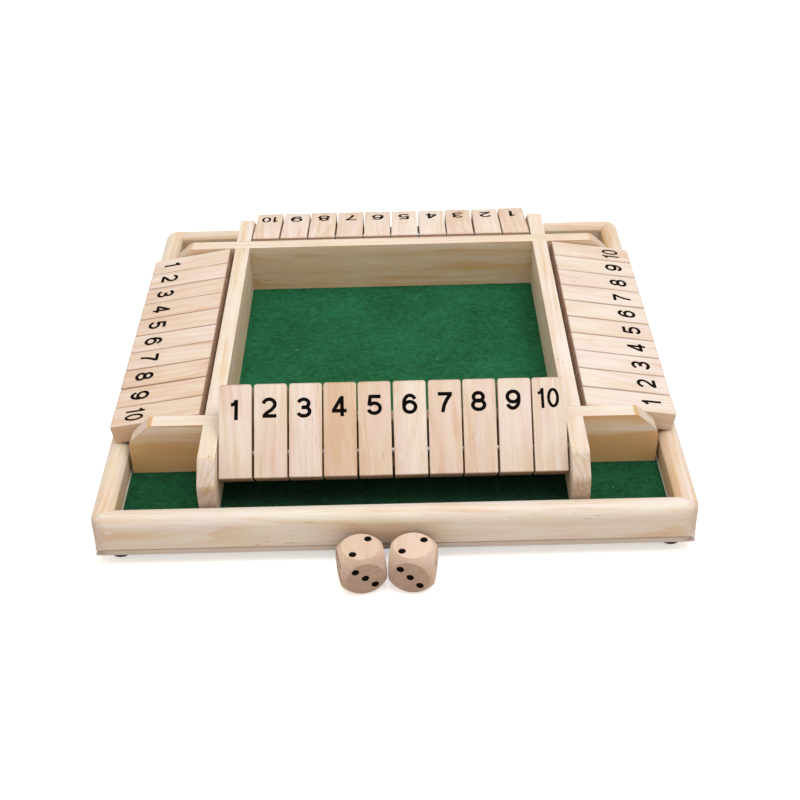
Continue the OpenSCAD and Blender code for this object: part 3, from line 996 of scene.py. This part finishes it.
def placeTiles():
    master = buildTile()
    numbers = {number: buildNumber(number) for number in tileNumbers}
    for side in sides:
        for number in tileNumbers:
            body = "tile_" + side + "_" + str(number)
            seed = tile["grainSeed"] * (sides.index(side) + 1) + number
            place = tilePlace(side, number)
            tone = tile["tones"][side][number - 1]
            piece = copyPiece(master, body + "_pine")
            giveGrain(piece, "y", seed, lambda spot: tone + gapAndTailShadeTone(spot), tile["lean"])
            finishPiece(piece, pineTile, "pine_tile", body, body, place=place, angle=30)
            label = printNumber(numbers[number], side, number)
            giveGrain(label, "y", seed, 0.0)
            finishPiece(label, blackInk, "ink", body, place=place, angle=40)
        print("tiles on the", side, "ready")
    for spent in (master, *numbers.values()):
        bpy.data.objects.remove(spent)


placeTiles()


dice = {
    "width": 16.5, "ball": 21.6, "rimRound": 0.22,
    "pip": 2.9, "pipDepth": 0.3, "pipRound": 0.15, "pipStep": 3.5,
    "paintThick": 0.12, "paintRound": 0.072,
    "paintShare": 0.97, "raggedTo": 0.94, "raggedSteps": 12,   # it all but fills a pip, with an uneven edge
    "grainSeed": 71, "paintSeed": 81,
    "turns": {"left": 11.7, "right": -9.1},
    "tones": {"left": 0.34, "right": 0.20},
}
# how the face with 1 to 6 pips is turned from the top of the die
pipFaces = {1: (0, 90, 0), 2: (0, 0, 0), 3: (90, -90, 0), 4: (-90, 0, 0), 5: (180, 0, 0), 6: (0, -90, 0)}
middlePip = ((0, 0),)
slantPips = ((-1, -1), (1, 1))
cornerPips = slantPips + ((-1, 1), (1, -1))
pipSpots = {1: middlePip, 2: slantPips, 3: middlePip + slantPips, 4: cornerPips,
            5: middlePip + cornerPips, 6: cornerPips + ((-1, 0), (1, 0))}


def buildDie():
    # a ball that six planes cut flat, with the rims of the cuts eased
    half = dice["width"] / 2 * mm
    clearSelection()
    bpy.ops.mesh.primitive_uv_sphere_add(segments=72, ring_count=48, radius=dice["ball"] / 2 * mm)
    piece = nameIt(bpy.context.object, "dieMaster")
    setMode("EDIT")
    for axis in (Vector((1, 0, 0)), Vector((0, 1, 0)), Vector((0, 0, 1))):
        for hand in (-1, 1):
            cutByPlane(axis * hand * half, axis * hand)
    setMode("OBJECT")
    applyModifier(piece, "BEVEL", limit_method="ANGLE", angle_limit=math.radians(20),
                  width=dice["rimRound"] * mm, segments=3)
    return piece


def pipPlaces():
    for number, spots in pipSpots.items():
        turn = Euler([math.radians(angle) for angle in pipFaces[number]], "XYZ").to_matrix().to_4x4()
        for x, y in spots:
            spot = Vector((x * dice["pipStep"], y * dice["pipStep"], dice["width"] / 2))
            yield turn @ Matrix.Translation(spot * mm)


def drillPips(piece):
    depth, radius = dice["pipDepth"] * mm, dice["pip"] / 2 * mm
    for place in pipPlaces():
        drill = addPin("drill", (0, 0, 0), radius, 2 * depth, vertices=28)
        roundEdges(drill, [(both(lambda end: end.z < 0), dice["pipRound"])], segments=3)
        combine(piece, bakePlace(drill, place))


def paintPips(name, seed):
    # a thin pool of paint in each pip, with a slightly ragged edge
    draw = random.Random(seed)
    radius, thick = dice["pip"] / 2 * dice["paintShare"] * mm, dice["paintThick"] * mm
    middle = thick / 2 - dice["pipDepth"] * mm
    steps = dice["raggedSteps"]
    pools = []
    for place in pipPlaces():
        pool = addPin("pool", (0, 0, middle), radius, thick, vertices=22)
        roundEdges(pool, [(both(lambda end: end.z > middle), dice["paintRound"])], segments=2)
        wobble = [draw.uniform(dice["raggedTo"], 1.0) for step in range(steps)]
        for vertex in pool.data.vertices:
            around = int((math.atan2(vertex.co.y, vertex.co.x) / math.tau + 1) * steps) % steps
            vertex.co.x *= wobble[around]
            vertex.co.y *= wobble[around]
        pools.append(bakePlace(pool, place))
    return joinPieces(pools, name)


def placeDice():
    for number, hand in enumerate(dice["turns"]):
        body = "die_" + hand
        low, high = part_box(body)
        turn = Matrix.Rotation(math.radians(dice["turns"][hand]), 4, "Z")
        place = Matrix.Translation((low + high) / 2) @ turn
        piece = nameIt(buildDie(), body + "_wood")
        drillPips(piece)
        giveGrain(piece, "y", dice["grainSeed"] + number, dice["tones"][hand])
        finishPiece(piece, diceWood, "dice_wood", body, body, place=place, angle=20)
        paint = paintPips("pips_" + hand, dice["paintSeed"] + number)
        giveGrain(paint, "y", dice["grainSeed"] + number, 0.0)
        finishPiece(paint, blackInk, "ink", body, place=place, angle=40)


placeDice()
print("dice ready")


studio = {   # its lengths are metres
    "floorSize": 6.0, "floorRoughness": 0.9, "floorSpecular": 0.1,
    "paper": (0.95, 0.95, 0.95, 1),        # the floor as it is seen
    "bounce": (0.67, 0.64, 0.62, 1),       # and as it lights the box from below
    "glow": 0.5,
    "skyColour": (1.0, 0.86, 0.70, 1), "skyStrength": 0.8,
    "keyPlace": (0.3, -0.1, 1.6), "keySize": 1.2, "keyPower": 18.8, "keyColour": (0.87, 0.94, 1.0),
}


def buildStudio():
    clearSelection()
    bpy.ops.mesh.primitive_plane_add(size=studio["floorSize"])
    floor = nameIt(bpy.context.object, "floor")
    material, tree, shader = newMaterial("palePaper")
    seen = tree.nodes.new("ShaderNodeLightPath").outputs["Is Camera Ray"]
    tree.links.new(mixColours(tree, seen, studio["bounce"], studio["paper"]), shader.inputs["Base Color"])
    shader.inputs["Emission Color"].default_value = (1, 1, 1, 1)
    tree.links.new(calc(tree, "MULTIPLY", seen, studio["glow"]), shader.inputs["Emission Strength"])
    shader.inputs["Roughness"].default_value = studio["floorRoughness"]
    shader.inputs["Specular IOR Level"].default_value = studio["floorSpecular"]
    floor.data.materials.append(material)
    world = bpy.data.worlds.new("studioSky")
    world.use_nodes = True
    sky = world.node_tree.nodes["Background"].inputs
    sky["Color"].default_value = studio["skyColour"]
    sky["Strength"].default_value = studio["skyStrength"]
    bpy.context.scene.world = world
    light = bpy.data.lights.new("keyLight", "AREA")
    light.size = studio["keySize"]
    light.energy = studio["keyPower"]
    light.color = studio["keyColour"]
    lamp = addObject("keyLight", light)
    lamp.location = studio["keyPlace"]
    lamp.rotation_euler = (boxCentre - lamp.location).to_track_quat("-Z", "Y").to_euler()


shot = {
    "place": (5.1, -474.7, 338.4),   # mm
    "turn": -0.294, "down": 35.45, "roll": -1.549,   # degrees
    "focal": 1336.1, "picture": 800, "sensor": 36.0,   # focal length in pixels of the picture
    "nearest": 0.01, "farthest": 20,                   # metres
}


def buildCamera():
    turn, down, roll = [math.radians(shot[key]) for key in ("turn", "down", "roll")]
    ahead = Vector((math.sin(turn) * math.cos(down), math.cos(turn) * math.cos(down), -math.sin(down)))
    right = Vector((math.cos(turn), -math.sin(turn), 0))
    up = right.cross(ahead)
    rolledRight = right * math.cos(roll) + up * math.sin(roll)
    rolledUp = up * math.cos(roll) - right * math.sin(roll)
    camera = addObject("camera", bpy.data.cameras.new("camera"))
    camera.matrix_world = Matrix.Translation(Vector(shot["place"]) * mm) @ Matrix(
        (rolledRight, rolledUp, -ahead)).transposed().to_4x4()
    camera.data.sensor_width = shot["sensor"]
    camera.data.lens = shot["focal"] * shot["sensor"] / shot["picture"]
    camera.data.clip_start = shot["nearest"]
    camera.data.clip_end = shot["farthest"]
    bpy.context.scene.camera = camera


buildStudio()
buildCamera()
bpy.context.scene.view_settings.view_transform = "Standard"
print("studio ready")
